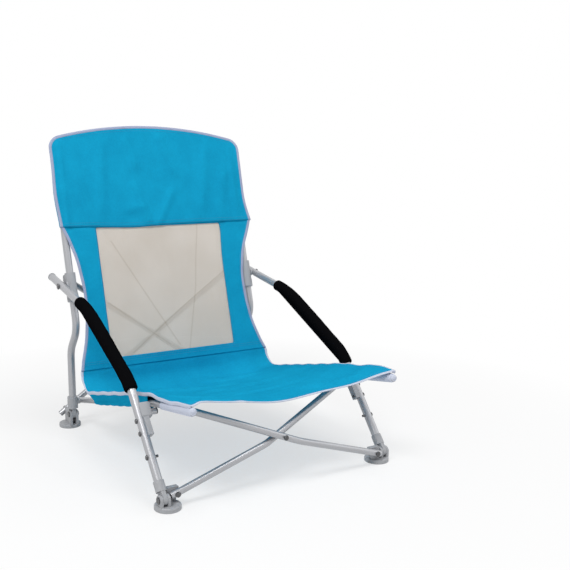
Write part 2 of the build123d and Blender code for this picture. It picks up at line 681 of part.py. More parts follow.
def layered_pieces(side):
    """Pieces at a cross frame's ends: the right side's tubes lie in front of the left side's."""
    rear_layer, front_layer = side * -REAR_LAYER, side * -FRONT_LAYER
    rear_y, front_y = REAR_CROSS_Y + rear_layer, FRONT_CROSS_Y + front_layer
    rear_face, front_face = rear_y - CROSS_R - APART, front_y + CROSS_R + APART
    rear = rear_tube(rear_layer) - crossing_hole(PIVOT_R + (RUNNING_FIT if side > 0 else SEAT_FIT))
    x, y, z = front_crossing(front_layer)
    front = front_tube(front_layer)
    if side > 0:
        front -= rod((x, y - 20, z), (x, y + 20, z), PIVOT_R + SEAT_FIT)
    rear_pins = [
        foot_pin(UPRIGHT_X, REAR_PIN_Y, REAR_PIN_Z),
        cross_pin(REAR_PIVOT_X, REAR_LOW_Z, REAR_PIN_Y + EYE_R + 2, rear_y, 1),
    ]
    front_pins = [
        foot_pin(ARM_X, FRONT_PIN_Y, FRONT_PIN_Z),
        cross_pin(FRONT_PIVOT_X, FRONT_LOW_Z, front_face + 7, front_y, -1),
    ]
    return {
        "rear_foot": rear_foot(rear_face),
        "rear_tube": rear,
        "rear_tube_cap": rear_tube_cap(rear_layer),
        "rear_foot_pins": Compound(rear_pins),
        "front_foot": front_foot(front_face),
        "front_tube": front,
        "front_tube_cap": front_tube_cap(front_layer),
        "front_foot_pins": Compound(front_pins),
    }


def middle_pieces():
    """Pieces on the chair's middle line."""
    sheet = back_sheet() & back_cut()
    return {
        "front_cross_rivet": front_rivet(),
        "rear_cross_rivet": rear_rivet(),
        "headrest_hood": hood(),
        "hood_binding": hood_binding(),
        "back_bindings": both_sides(back_binding()),
        "back_panel": sheet - mesh_cut(0),
        "mesh_panel": sheet & mesh_cut(0.3),
        "seat_panel": seat_panel(),
        "seat_front_binding": seat_front_binding(),
        "seat_side_bindings": both_sides(seat_side_binding()),
    }


def main():
    os.makedirs("parts", exist_ok=True)
    pieces = dict(middle_pieces())
    for name, shape in side_pieces().items():
        pieces[name + "_right"] = shape
        pieces[name + "_left"] = mirrored(shape)
    for name, shape in layered_pieces(1).items():
        pieces[name + "_right"] = shape
    for name, shape in layered_pieces(-1).items():
        pieces[name + "_left"] = mirrored(shape)
    for name, shape in pieces.items():
        export_step(Pos(0, -DEPTH_MIDDLE, 0) * shape, f"parts/{name}.step")


main()
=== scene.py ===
"""Folding camp chair: cloth, foam, tapes, stitches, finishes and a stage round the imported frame."""

from functools import partial, partialmethod
from math import cos, exp, hypot, pi, radians, sin, sqrt, tan

import bmesh
import bpy
from bpy.props import FloatProperty, FloatVectorProperty, PointerProperty
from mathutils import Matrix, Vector


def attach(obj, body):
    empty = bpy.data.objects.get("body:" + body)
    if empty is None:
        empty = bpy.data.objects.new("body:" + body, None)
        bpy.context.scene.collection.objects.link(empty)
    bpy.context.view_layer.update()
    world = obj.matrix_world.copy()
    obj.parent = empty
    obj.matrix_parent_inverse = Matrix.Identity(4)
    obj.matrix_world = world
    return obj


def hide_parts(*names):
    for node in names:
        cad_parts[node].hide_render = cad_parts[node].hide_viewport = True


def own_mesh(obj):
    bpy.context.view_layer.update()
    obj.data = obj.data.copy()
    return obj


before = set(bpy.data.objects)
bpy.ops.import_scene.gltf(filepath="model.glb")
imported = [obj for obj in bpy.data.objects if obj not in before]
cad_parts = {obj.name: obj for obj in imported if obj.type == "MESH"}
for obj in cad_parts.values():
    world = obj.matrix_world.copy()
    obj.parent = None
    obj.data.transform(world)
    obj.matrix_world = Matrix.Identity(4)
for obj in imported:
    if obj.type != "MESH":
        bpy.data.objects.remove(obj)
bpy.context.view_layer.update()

bl_info = {
    "name": "Camp chair",
    "version": (1, 0, 0),
    "blender": (4, 5, 0),
    "location": "View3D > Sidebar > Camp chair",
    "description": "Builds the cloth, foam and finishes of a folding camp chair on its packed frame",
    "category": "Object",
}

# Sizes in metres; depths of seat, rails and arms are DEPTH_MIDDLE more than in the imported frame
DEPTH_MIDDLE = 0.00935
HANDS = {-1: "left", 1: "right"}

# Slope of the back: a point on it and its direction, as depth and height
RECLINE_Y, RECLINE_Z = 0.231 - DEPTH_MIDDLE, 0.319
RECLINE_UP = (0.28 / hypot(0.28, 1.0), 1.0 / hypot(0.28, 1.0))

# Hood, with heights up the slope
HOOD_HEM, HOOD_CORNER, HOOD_CROWN = 0.133, 0.325, 0.357
HOOD_LOW_HALF, HOOD_TOP_HALF, HOOD_HALF_DEPTH = 0.2305, 0.233, 0.012
HOOD_ROUND, HOOD_FALL, HOOD_RIM, HOOD_LAP = 0.020, 0.016, 0.0115, 0.003

# Back and mesh window, with heights up the slope
BACK_LOW, BACK_WAIST, BACK_HEM = -0.185, -0.008, -0.181
BACK_TOP_HALF, BACK_WAIST_HALF, BACK_LOW_HALF = 0.2295, 0.197, 0.231
BACK_SAG, BACK_SAG_HALF = 0.010, 0.235
MESH_HALF, MESH_LOW, MESH_HIGH, MESH_CORNER = 0.150, -0.160, 0.128, 0.004
MESH_SEAM, MESH_SPARE, MESH_BEHIND, MESH_THICKNESS = 0.004, 0.015, 0.0016, 0.0007
WINDOW_STEPS, ARC_STEPS = 36, 6

# Seat: its side edge as (depth, height) points, and the lifts of its cloth above an even sag
SEAT_EDGE = ((-0.317, 0.197), (-0.160, 0.181), (0.150, 0.108), (0.1715, 0.146), (0.1756, 0.1625))
SEAT_BENDS = (0.300, 0.032, 0.060)
SEAT_FRONT_HALF, SEAT_REAR_HALF = 0.217, 0.231
SEAT_FRONT_SAG, SEAT_REAR_SAG = 0.037, 0.010
SEAT_FRONT_MID, SEAT_FRONT_EASE = -0.2465, 0.003
SEAT_LAP, SEAT_BEHIND = 0.017, 0.0012
# Cloth that the seat's sag and folds take up, as multiples of its width and length
LEFT_LIFT, MIDDLE_LIFT, LIFT_REACH = 0.0155, 0.0048, 0.16
CORNER_LIFT, CORNER_DROP = 0.0075, 0.005

# Side rail, and the sleeves and corner pockets round it
RAIL = ((0.197, 0.251, 0.060), (0.20862, -0.158, 0.160), (0.213, -0.312, 0.185))
SLEEVE_REAR, SLEEVE_FRONT, SLEEVE_RISE = 0.148, -0.144, 0.07
SLEEVE_R, SLEEVE_INSET = 0.0079, 0.034
POCKET_REAR, POCKET_TIP, POCKET_NOSE = -0.1955, -0.3175, 0.009
POCKET_R, POCKET_GIRTH, POCKET_BELOW = 0.0076, 0.070, 0.0028
# Shares of the seat's half width between which the corner pockets lie
POCKET_UNDER = 0.95, 0.98

# Arms as (depth, height) points, and the foam grips on them
ARM_X = 0.241
ARM = ((-0.257, 0.020), (-0.122, 0.19279), (0.075, 0.29534), (0.296, 0.3363))
ARM_BENDS = (0.120, 0.330)
TUBE_R, FOAM_R, FOAM_ROLL, FOAM_GAP = 0.008, 0.0125, 0.004, 0.0004
FOAM_START, FOAM_END, FOAM_FILL = 0.028, 0.052, 0.9
# Bare tube left at the lower end of the left and the right grip
FOAM_TRIM = {-1: 0.0142, 1: 0.002}

# Soft folds as two (across, along) ends on the cloth, half the width and a multiple of the fold depth
HOOD_FOLDS = (
    ((-0.012, 0.115), (-0.054, 0.245), 0.008, 3.0),
    ((-0.004, 0.115), (0.058, 0.225), 0.009, 2.6),
    ((-0.116, 0.350), (-0.134, 0.120), 0.012, 2.8),
    ((0.152, 0.335), (0.108, 0.120), 0.013, 2.8),
    ((-0.190, 0.290), (-0.146, 0.115), 0.010, 2.2),
    ((0.196, 0.280), (0.160, 0.115), 0.010, 2.2),
    ((0.018, 0.355), (0.068, 0.225), 0.011, 2.2),
    ((-0.085, 0.162), (-0.015, 0.176), 0.009, 1.5),
    ((-0.064, 0.345), (-0.032, 0.245), 0.010, 2.2),
    ((-0.213, 0.330), (-0.213, 0.100), 0.006, 1.4),
    ((0.213, 0.330), (0.213, 0.100), 0.006, 1.4),
)
SEAT_FOLDS = (
    ((-0.170, 0.462), (0.040, 0.436), 0.007, 2.6),
    ((0.010, 0.486), (0.195, 0.418), 0.008, 3.0),
    ((-0.040, 0.372), (0.180, 0.296), 0.010, 2.8),
    ((0.040, 0.160), (0.210, 0.040), 0.012, 3.0),
    ((-0.190, 0.300), (-0.030, 0.190), 0.011, 2.6),
    ((-0.205, 0.150), (-0.070, 0.060), 0.011, 2.4),
    ((-0.060, 0.440), (0.110, 0.385), 0.007, 2.4),
    ((-0.030, 0.250), (0.160, 0.190), 0.010, 2.2),
)
# Lines of painted shade across the mesh, as an upper and a lower (across, height) end and half the
# width
MESH_SHADE_LINES = (
    ((-0.118, 0.098), (0.020, -0.150), 0.0030),
    ((0.097, 0.128), (0.076, -0.020), 0.0024),
    ((0.076, -0.020), (0.042, -0.160), 0.0024),
    ((0.150, 0.013), (-0.098, -0.155), 0.0022),
    ((-0.142, -0.040), (-0.004, -0.146), 0.0018),
)

# Light: the sky's strength, and each lamp's name, place, width and power
SKY_LIGHT = 0.35
LAMPS = (
    ("key", (-1.8, -1.0, 3.0), 1.2, 54.0),
    ("fill", (2.2, -1.2, 1.6), 1.8, 8.0),
    ("top", (0.3, -0.7, 3.2), 1.6, 32.0),
)
LAMP_TARGET = Vector((0, 0, 0.3))
FLOOR_HALF, FLOOR_FADE = 12.0, 1.2

# Camera that was fitted to the photo, with its shift in the photo's pixels
CAMERA_PLACE = (-0.8037, -1.4401 - DEPTH_MIDDLE, 0.5803)
CAMERA_DOWN, CAMERA_TURN, CAMERA_LENS = 10.66, -30.15, 51.5
PHOTO_SIZE, SHIFT_X, SHIFT_Y = 570, 58, 33

# Finish of each node of the frame, by its name without the side
SLOTS = {
    "silver_tube": ("upright", "arm_leg", "rear_tube", "front_tube", "side_rail", "rest_stub"),
    "grey_plastic": (
        *("front_foot", "rear_foot", "arm_bracket", "leg_bracket", "leg_boot", "upright_boot"),
        *("arm_end_cap", "upright_cap", "rear_tube_cap", "front_tube_cap", "rail_cap"),
    ),
    "black_plastic": ("rest_stub_cap",),
    "rivet_steel": (
        *("front_foot_pins", "rear_foot_pins", "arm_rivet", "leg_rivets", "rail_pin"),
        *("rear_cross_rivet", "front_cross_rivet"),
    ),
}


# Paths and surfaces


def smooth(share):
    """Eases a share from 0 to 1."""
    share = min(max(share, 0.0), 1.0)
    return share * share * (3 - 2 * share)


def bump(value, middle, width):
    """Smooth hump of height 1 round a middle value."""
    return exp(-(((value - middle) / width) ** 2))


def evenly(low, high, count):
    """Values from low to high in equal steps."""
    return [low + (high - low) * i / count for i in range(count + 1)]


def soft_fold(u, v, folds):
    """Height of crossing soft folds at a place on the cloth."""
    total = 0.0
    for start, end, width, height in folds:
        run = Vector(end) - Vector(start)
        offset = Vector((u, v)) - Vector(start)
        share = offset.dot(run) / run.length_squared
        aside = (run.x * offset.y - run.y * offset.x) / run.length
        total += height * bump(aside, 0.0, width) * smooth(share * 4) * smooth((1 - share) * 4)
    return total


def filleted(corners, radii, step=0.004):
    """Points along straight runs joined by arcs, in a plane, a small step apart on the arcs."""
    points = [Vector(corners[0])]
    for before, corner, after, radius in zip(corners, corners[1:], corners[2:], radii):
        here = Vector(corner)
        back = (Vector(before) - here).normalized()
        ahead = (Vector(after) - here).normalized()
        turn = pi - back.angle(ahead)
        reach = radius * tan(turn / 2)
        start, end = here + back * reach, here + ahead * reach
        centre = here + (back + ahead).normalized() * (radius / cos(turn / 2))
        first, last = start - centre, end - centre
        count = max(3, int(radius * turn / step))
        for i in range(count + 1):
            share = i / count
            spread = sin(turn)
            mixed = first * (sin((1 - share) * turn) / spread) + last * (sin(share * turn) / spread)
            points.append(centre + mixed)
    points.append(Vector(corners[-1]))
    return points


class Path:
    """Points with distances along them."""

    ease = 0.003

    def __init__(self, points):
        self.points = points
        self.marks = [0.0]
        for a, b in zip(points, points[1:]):
            self.marks.append(self.marks[-1] + (b - a).length)
        self.length = self.marks[-1]

    def segment(self, distance):
        """Index and share of the run that holds a distance."""
        distance = min(max(distance, 0.0), self.length)
        for i, (low, high) in enumerate(zip(self.marks, self.marks[1:])):
            if distance <= high and high > low:
                return i, (distance - low) / (high - low)
        return len(self.points) - 2, 1.0

    def at(self, distance):
        """Point at a distance."""
        i, share = self.segment(distance)
        return self.points[i].lerp(self.points[i + 1], share)

    def run(self, distance):
        """Direction at a distance, eased over a short stretch."""
        return (self.at(distance + self.ease) - self.at(distance - self.ease)).normalized()


def arc_x(height, top, waist, low):
    """Half width at a height on the hollow arc through three (half width, height) points."""
    (ax, ay), (bx, by), (cx, cy) = top, waist, low
    d = 2 * (ax * (by - cy) + bx * (cy - ay) + cx * (ay - by))
    a2, b2, c2 = ax * ax + ay * ay, bx * bx + by * by, cx * cx + cy * cy
    ux = (a2 * (by - cy) + b2 * (cy - ay) + c2 * (ay - by)) / d
    uy = (a2 * (cx - bx) + b2 * (ax - cx) + c2 * (bx - ax)) / d
    radius = hypot(ax - ux, ay - uy)
    return ux - sqrt(radius * radius - (height - uy) ** 2)


def back_place(x, depth, height):
    """Point on the reclined back: across, to the rear and up the slope."""
    s, c = RECLINE_UP
    return Vector((x, RECLINE_Y + c * depth + s * height, RECLINE_Z - s * depth + c * height))


def to_rear(depth):
    """Step to the rear, square to the back's slope."""
    return back_place(0, depth, 0) - back_place(0, 0, 0)


def back_half(height):
    """Half width of the back at a height."""
    top = (BACK_TOP_HALF, HOOD_HEM)
    return arc_x(height, top, (BACK_WAIST_HALF, BACK_WAIST), (BACK_LOW_HALF, BACK_LOW))


def slack(x, height):
    """How far the back and the hood are drawn sideways; they hang a little to the frame's right."""
    side = smooth(abs(x) / HOOD_LOW_HALF)
    if x < 0:
        return side * (0.005 * bump(height, -0.19, 0.02) - 0.004 * bump(height, 0.20, 0.05))
    return side * (0.0045 + 0.005 * smooth((0.20 - height) / 0.10) + 0.007 * bump(height, 0.115, 0.045))


def seat_slack(across, y):
    """How far the seat's rear is drawn sideways with the back."""
    if across < 0:
        return 0.005 * smooth(-across) * smooth((y - 0.08) / 0.10)
    return 0.0095 * smooth(across) * smooth((y + 0.10) / 0.25)


def back_folds(x, height, depth):
    """Soft pulls in the back cloth that run out to the sides, strongest at its edges."""
    edge = smooth((abs(x) / BACK_SAG_HALF - 0.55) / 0.45)
    pull = sin(height * 61 + abs(x) * 38 + 0.7 * x / abs(x or 1)) + 0.6 * sin(height * 113 - x * 24)
    return 0.5 * depth * edge * pull


def back_surface(x, height, depth):
    """Point on the sagging back cloth."""
    sag = BACK_SAG * (1 - (x / BACK_SAG_HALF) ** 2)
    rear = sag - HOOD_HALF_DEPTH + back_folds(x, height, depth)
    return back_place(x + slack(x, height), rear, height)


def hood_top(x):
    """Height of the hood's arched top edge, rounded down at its corners."""
    rise = HOOD_CROWN - HOOD_CORNER
    radius = (HOOD_TOP_HALF**2 + rise**2) / (2 * rise)
    arch = HOOD_CROWN - radius + sqrt(radius * radius - x * x)
    over = max(abs(x) - (HOOD_TOP_HALF - HOOD_ROUND), 0.0) / HOOD_ROUND
    return arch - HOOD_ROUND * (1 - sqrt(max(1 - over * over, 0.0)))


SEAT_PATH = Path(filleted(SEAT_EDGE, SEAT_BENDS))


def seat_half(y):
    """Half width of the seat at a depth."""
    knee, rear = SEAT_EDGE[1][0], SEAT_EDGE[2][0]
    share = min(max((y - knee) / (rear - knee), 0.0), 1.0)
    return SEAT_FRONT_HALF + (SEAT_REAR_HALF - SEAT_FRONT_HALF) * share


def seat_surface(across, distance, depth):
    """Point on the seat cloth: a share of its half width and a distance along its side edge."""
    y, z = SEAT_PATH.at(distance)
    run = SEAT_PATH.run(distance)
    share = distance / SEAT_PATH.length
    sag = SEAT_FRONT_SAG + (SEAT_REAR_SAG - SEAT_FRONT_SAG) * share**4
    edge = smooth((abs(across) - 0.7) / 0.3)
    ends = smooth(share * 6) * smooth((1 - share) * 6)
    wave = 0.35 * depth * edge * sin(distance * 118 + 1.3 * across) * ends
    pull = 0.8 * depth * (1 - edge) * sin(across * 9 + distance * 16) * smooth(1 - share * 2.4)
    taut = LEFT_LIFT * bump(across, -0.55, 0.42) * smooth((1 + across) / 0.14)
    taut += MIDDLE_LIFT * bump(across, 0.25, 0.40)
    taut *= smooth(1 - distance / LIFT_REACH)
    corner = CORNER_LIFT * smooth((across - 0.6) / 0.4) * bump(distance, 0.052, 0.045)
    corner -= CORNER_DROP * smooth((-across - 0.6) / 0.4) * bump(distance, 0.10, 0.05)
    x = across * seat_half(y) + seat_slack(across, y)
    fold = depth * soft_fold(x, distance, SEAT_FOLDS) * (1 - edge)
    drop = sag * (1 - across * across) + wave + pull - taut - fold - corner
    place = Vector((x, y - DEPTH_MIDDLE + run.y * drop, z - run.x * drop))
    height = BACK_LOW + distance - (SEAT_PATH.length - SEAT_LAP)
    joined = smooth((height - BACK_LOW + 0.03) / 0.03)
    if joined == 0.0:
        return place
    half = back_half(max(height, BACK_LOW))
    return place.lerp(back_surface(across * half, height, depth) + to_rear(SEAT_BEHIND), joined)


def seat_front(across):
    """Distance along the side edge at which the drawn-back front edge starts."""
    half = SEAT_FRONT_HALF + SEAT_FRONT_EASE
    rise = SEAT_FRONT_MID - SEAT_EDGE[0][0] - SEAT_FRONT_EASE
    radius = (half * half + rise * rise) / (2 * rise)
    y = SEAT_FRONT_MID - radius + sqrt(radius * radius - (across * SEAT_FRONT_HALF) ** 2)
    return max(y - SEAT_EDGE[0][0], 0.0)


# Meshes


def new_object(name, verts, faces, uvs=None, edges=()):
    """Mesh object at the origin, with a texture map in metres if one is given."""
    mesh = bpy.data.meshes.new(name)
    mesh.from_pydata([tuple(v) for v in verts], list(edges), faces)
    if uvs:
        layer = mesh.uv_layers.new(name="cloth")
        for loop in mesh.loops:
            layer.data[loop.index].uv = uvs[loop.vertex_index]
    mesh.polygons.foreach_set("use_smooth", [True] * len(mesh.polygons))
    mesh.update()
    obj = bpy.data.objects.new(name, mesh)
    bpy.context.scene.collection.objects.link(obj)
    return obj


def grid_faces(rows, columns, wrap=False):
    """Quads of a grid, row by row; wrap joins the last column to the first."""
    faces = []
    last = columns if wrap else columns - 1
    for r in range(rows - 1):
        here, above = r * columns, (r + 1) * columns
        for c in range(last):
            n = (c + 1) % columns
            faces.append((here + c, here + n, above + n, above + c))
    return faces


def baked(obj):
    """Turns an object's modifiers into its mesh."""
    graph = bpy.context.evaluated_depsgraph_get()
    mesh = bpy.data.meshes.new_from_object(obj.evaluated_get(graph), depsgraph=graph)
    obj.modifiers.clear()
    obj.data = mesh
    return obj


def thickened(obj, thickness):
    """Gives a surface both faces and a rim."""
    solid = obj.modifiers.new("thickness", "SOLIDIFY")
    solid.thickness = thickness
    solid.offset = 0.0
    solid.use_even_offset = True
    return baked(obj)


def edited(obj, change):
    """Applies a change to an object's mesh."""
    work = bmesh.new()
    work.from_mesh(obj.data)
    change(work)
    work.to_mesh(obj.data)
    work.free()
    return obj


def welded(obj):
    """Joins points that lie on each other, so a seam is closed."""
    return edited(obj, lambda work: bmesh.ops.remove_doubles(work, verts=work.verts, dist=0.00002))


def faces_out(obj):
    """Turns every face of a closed mesh to the outside."""
    return edited(obj, lambda work: bmesh.ops.recalc_face_normals(work, faces=work.faces))


def oval_tube(name, points, normals, wide, thick, sides):
    """Closed tube of oval section along points: wide across the normal, thick along it."""
    verts, uvs = [], []
    travelled = 0.0
    count = len(points)
    for i, (point, normal) in enumerate(zip(points, normals)):
        ahead = points[min(i + 1, count - 1)] - points[max(i - 1, 0)]
        across = ahead.normalized().cross(normal).normalized()
        square = across.cross(ahead.normalized())
        for k in range(sides):
            angle = 2 * pi * k / sides
            verts.append(point + across * (wide * cos(angle)) + square * (thick * sin(angle)))
            uvs.append((travelled, 2 * wide * k / sides))
        travelled += (points[min(i + 1, count - 1)] - point).length
    faces = grid_faces(count, sides, wrap=True)
    faces.append(tuple(reversed(range(sides))))
    faces.append(tuple((count - 1) * sides + k for k in range(sides)))
    return new_object(name, verts, faces, uvs)


# Shader sockets

# Places of the colour sockets on a Mix node
MIX_A, MIX_B, MIX_RESULT = 6, 7, 2


class Socket:
    """A shader socket that takes arithmetic."""

    def __init__(self, tree, output):
        self.tree = tree
        self.output = output

    def combine(self, other, operation, swapped=False):
        """Socket of a maths node on this socket and a socket or number."""
        node = self.tree.nodes.new("ShaderNodeMath")
        node.operation = operation
        pair = (other, self) if swapped else (self, other)
        for slot, value in zip(node.inputs, pair):
            if isinstance(value, Socket):
                self.tree.links.new(value.output, slot)
            else:
                slot.default_value = value
        return Socket(self.tree, node.outputs[0])

    __add__ = __radd__ = partialmethod(combine, operation="ADD")
    __sub__ = partialmethod(combine, operation="SUBTRACT")
    __rsub__ = partialmethod(combine, operation="SUBTRACT", swapped=True)
    __mul__ = __rmul__ = partialmethod(combine, operation="MULTIPLY")
    __truediv__ = partialmethod(combine, operation="DIVIDE")
    __rtruediv__ = partialmethod(combine, operation="DIVIDE", swapped=True)
    above = partialmethod(combine, operation="GREATER_THAN")
    at_most = partialmethod(combine, operation="MINIMUM")
    at_least = partialmethod(combine, operation="MAXIMUM")
    sine = partialmethod(combine, 0.0, operation="SINE")
    size = partialmethod(combine, 0.0, operation="ABSOLUTE")


class Shading:
    """A shader tree that nodes are added to."""

    def __init__(self, tree):
        self.tree = tree

    def node(self, kind, inputs, output, **settings):
        """Adds a node, sets it up, links or sets its inputs and returns one of its outputs."""
        node = self.tree.nodes.new(kind)
        for key, value in settings.items():
            setattr(node, key, value)
        for key, value in inputs.items():
            if isinstance(value, Socket):
                self.tree.links.new(value.output, node.inputs[key])
            else:
                node.inputs[key].default_value = value
        return Socket(self.tree, node.outputs[output])

    def seen_directly(self):
        """1 where the camera sees a surface or the sky, also in metal, and 0 on rays of light."""
        names = ("Is Camera Ray", "Is Glossy Ray", "Is Transmission Ray")
        camera, glossy, clear = (self.node("ShaderNodeLightPath", {}, name) for name in names)
        return camera.at_least(glossy).at_least(clear)


class Finish(Shading):
    """A material with one Principled shader and its coordinates."""

    def __init__(self, name, color, roughness, metallic=0.0):
        self.material = bpy.data.materials.new(name + "_finish")
        self.material.use_nodes = True
        super().__init__(self.material.node_tree)
        self.shader = self.tree.nodes["Principled BSDF"]
        self.shader.inputs["Base Color"].default_value = (*color, 1.0)
        self.shader.inputs["Roughness"].default_value = roughness
        self.shader.inputs["Metallic"].default_value = metallic
        self.color = color

    def coordinates(self, kind="Object"):
        return self.node("ShaderNodeTexCoord", {}, kind)

    def axes(self, kind="Object"):
        """The coordinates as three numbers."""
        place = self.coordinates(kind)
        return [self.node("ShaderNodeSeparateXYZ", {"Vector": place}, axis) for axis in "XYZ"]

    def noise(self, scale, detail=2.0):
        inputs = {"Vector": self.coordinates(), "Scale": scale, "Detail": detail}
        return self.node("ShaderNodeTexNoise", inputs, "Fac")

    def tint(self, amount, shares):
        """Mixes the base colour, by a socket's value, with shares of its red, green and blue."""
        other = [c * s for c, s in zip(self.color, shares)]
        inputs = {"Factor": amount, MIX_A: (*self.color, 1.0), MIX_B: (*other, 1.0)}
        self.drive("Base Color", self.node("ShaderNodeMix", inputs, MIX_RESULT, data_type="RGBA"))

    def matte(self, level):
        """Sets how much of a plain surface's shine is left."""
        self.shader.inputs["Specular IOR Level"].default_value = level

    def rough(self, scale, spread, least):
        """Clouds the roughness from its least value up."""
        self.drive("Roughness", self.noise(scale) * spread + least)

    def drive(self, name, value):
        self.tree.links.new(value.output, self.shader.inputs[name])

    def bump(self, height, strength, distance):
        inputs = {"Height": height, "Strength": strength, "Distance": distance}
        self.drive("Normal", self.node("ShaderNodeBump", inputs, "Normal"))


def chosen(name):
    """A colour from the chair's settings."""
    return tuple(getattr(bpy.context.scene.camp_chair, name))


def silver_tube():
    finish = Finish("silver_tube", chosen("tube_color"), 0.32, 0.55)
    cloudy = finish.noise(55.0, 3.0)
    finish.drive("Roughness", cloudy * 0.16 + 0.24)
    finish.tint(finish.noise(420.0, 2.0) * 0.35, (0.8222, 0.8242, 0.8211))
    finish.bump(finish.noise(900.0, 2.0), 0.08, 0.0004)
    return finish.material


def grey_plastic():
    finish = Finish("grey_plastic", chosen("plastic_color"), 0.48)
    finish.rough(160.0, 0.2, 0.38)
    finish.tint(finish.noise(35.0) * 0.5, (0.8095, 0.8023, 0.8))
    finish.bump(finish.noise(1500.0, 3.0), 0.15, 0.0003)
    return finish.material


def black_plastic():
    finish = Finish("black_plastic", (0.012, 0.012, 0.014), 0.4)
    finish.rough(200.0, 0.2, 0.3)
    finish.bump(finish.noise(1500.0), 0.1, 0.0003)
    return finish.material


def rivet_steel():
    finish = Finish("rivet_steel", (0.14, 0.14, 0.145), 0.3, 1.0)
    finish.rough(300.0, 0.25, 0.18)
    finish.tint(finish.noise(120.0) * 0.6, (0.3571, 0.3571, 0.3586))
    return finish.material


def black_foam():
    finish = Finish("black_foam", chosen("foam_color"), 0.85)
    finish.matte(0.0)
    inputs = {"Vector": finish.coordinates(), "Scale": 900.0}
    pores = finish.node("ShaderNodeTexVoronoi", inputs, "Distance")
    finish.tint(pores * 0.8, (2.4, 2.4, 2.3333))
    finish.rough(80.0, 0.15, 0.75)
    finish.bump(pores, 0.5, 0.0006)
    return finish.material


def woven(name, color, shares, pitch):
    """Plain woven cloth with a fine square weave, and wear that clouds its colour."""
    finish = Finish(name, color, 0.78)
    finish.matte(0.0)
    across, along, _ = finish.axes("UV")
    step = 2 * pi / pitch
    weave = (across * step).sine() * (along * step).sine()
    clouds = finish.noise(9.0, 4.0) * 0.5 + finish.noise(32.0, 3.0) * 0.35
    finish.tint(clouds + finish.noise(240.0, 2.0) * 0.4 + weave * 0.12 - 0.2, shares)
    finish.rough(40.0, 0.12, 0.7)
    finish.bump(weave + finish.noise(60.0, 3.0) * 0.6, 0.3, 0.0004)
    return finish.material


def blue_cloth():
    return woven("blue_cloth", chosen("cloth_color"), (0.4545, 0.5476, 0.6232), 0.0016)


def pale_binding():
    """Tape of the hood and the back."""
    return woven("pale_binding", chosen("tape_color"), (0.7619, 0.7447, 0.7937), 0.0022)


def seat_binding():
    """Paler tape of the seat."""
    return woven("seat_binding", chosen("seat_tape_color"), (0.8182, 0.8286, 0.8765), 0.0022)


def pale_mesh():
    """Open knit with rows of small see-through holes, a random mottle, and lines of painted shade
    across it.
    """
    finish = Finish("pale_mesh", chosen("mesh_color"), 0.75)
    finish.matte(0.0)
    across, along, _ = finish.axes("UV")
    step = 2 * pi / 0.0030
    holes = (across * step).sine() * (along * step).sine()
    finish.drive("Alpha", 1.0 - holes.above(0.5) * 0.85)
    # Random mottle, plus painted shade that darkens and browns the mesh along thin lines
    mottle_and_line_shade = finish.noise(14.0, 4.0) * 0.5
    for start, end, width in MESH_SHADE_LINES:
        run = (Vector(end) - Vector(start)).normalized()
        aside = ((across - start[0]) * run.y - (along - start[1]) * run.x).size()
        within = (along - end[1]).above(0.0) * (start[1] - along).above(0.0)
        mottle_and_line_shade = mottle_and_line_shade + (1.0 - aside / width).at_least(0.0) * within * 0.4
    finish.tint(mottle_and_line_shade, (0.6757, 0.6269, 0.55))
    finish.rough(40.0, 0.1, 0.7)
    finish.bump(holes, 0.35, 0.0004)
    return finish.material


def thread():
    finish = Finish("thread", chosen("thread_color"), 0.7)
    across, along, _ = finish.axes()
    twist = ((across + along) * 4200.0).sine()
    finish.tint(twist * 0.3 + 0.3, (3.0, 1.5455, 1.3333))
    finish.bump(twist, 0.3, 0.0002)
    return finish.material


def floor_white():
    """Matte floor that the camera sees paler than it is lit, with the chair's shadow kept on it."""
    finish = Finish("floor_white", (0.92, 0.92, 0.92), 0.95)
    finish.matte(0.0)
    finish.bump(finish.noise(30.0), 0.02, 0.0005)
    white = {"Color": (1.0, 1.0, 1.0, 1.0), "Strength": 1.0}
    glow = finish.node("ShaderNodeEmission", white, "Emission")
    lit = Socket(finish.tree, finish.shader.outputs[0])
    across, along, _ = finish.axes()
    away = ((across * across + along * along) / FLOOR_FADE).at_most(1.0)
    pale = finish.seen_directly() * (away * 0.4 + 0.6)
    mixed = finish.node("ShaderNodeMixShader", {0: pale, 1: lit, 2: glow}, "Shader")
    finish.tree.links.new(mixed.output, finish.tree.nodes["Material Output"].inputs["Surface"])
    return finish.material


MATERIALS = (
    *(silver_tube, grey_plastic, black_plastic, rivet_steel, black_foam, blue_cloth),
    *(pale_binding, seat_binding, pale_mesh, thread, floor_white),
)


def material(name):
    """The named finish, made on first use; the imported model's plain materials have the bare names."""
    found = bpy.data.materials.get(name + "_finish")
    if found is None:
        found = {maker.__name__: maker for maker in MATERIALS}[name]()
    return found


def dressed(obj, name):
    """Gives an object one material."""
    obj.data.materials.clear()
    obj.data.materials.append(material(name))
    return obj


def placed(obj, body, nodes, slot, finish=None):
    """Hands a finished piece to its body, in place of CAD nodes."""
    dressed(obj, finish or slot)
    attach(obj, body)
    if nodes:
        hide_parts(*nodes)
    return obj


def on_back(obj, nodes, slot, finish=None):
    """A cloth piece on the back: it rides the left upright and gets a mesh of its own."""
    placed(obj, "upright_left", nodes, slot, finish)
    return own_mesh(obj)


def on_seat(obj, nodes, slot, finish=None):
    """A cloth piece on the seat: it rides the left rail and gets a mesh of its own."""
    placed(obj, "side_rail_left", nodes, slot, finish)
    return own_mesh(obj)


# Stitching


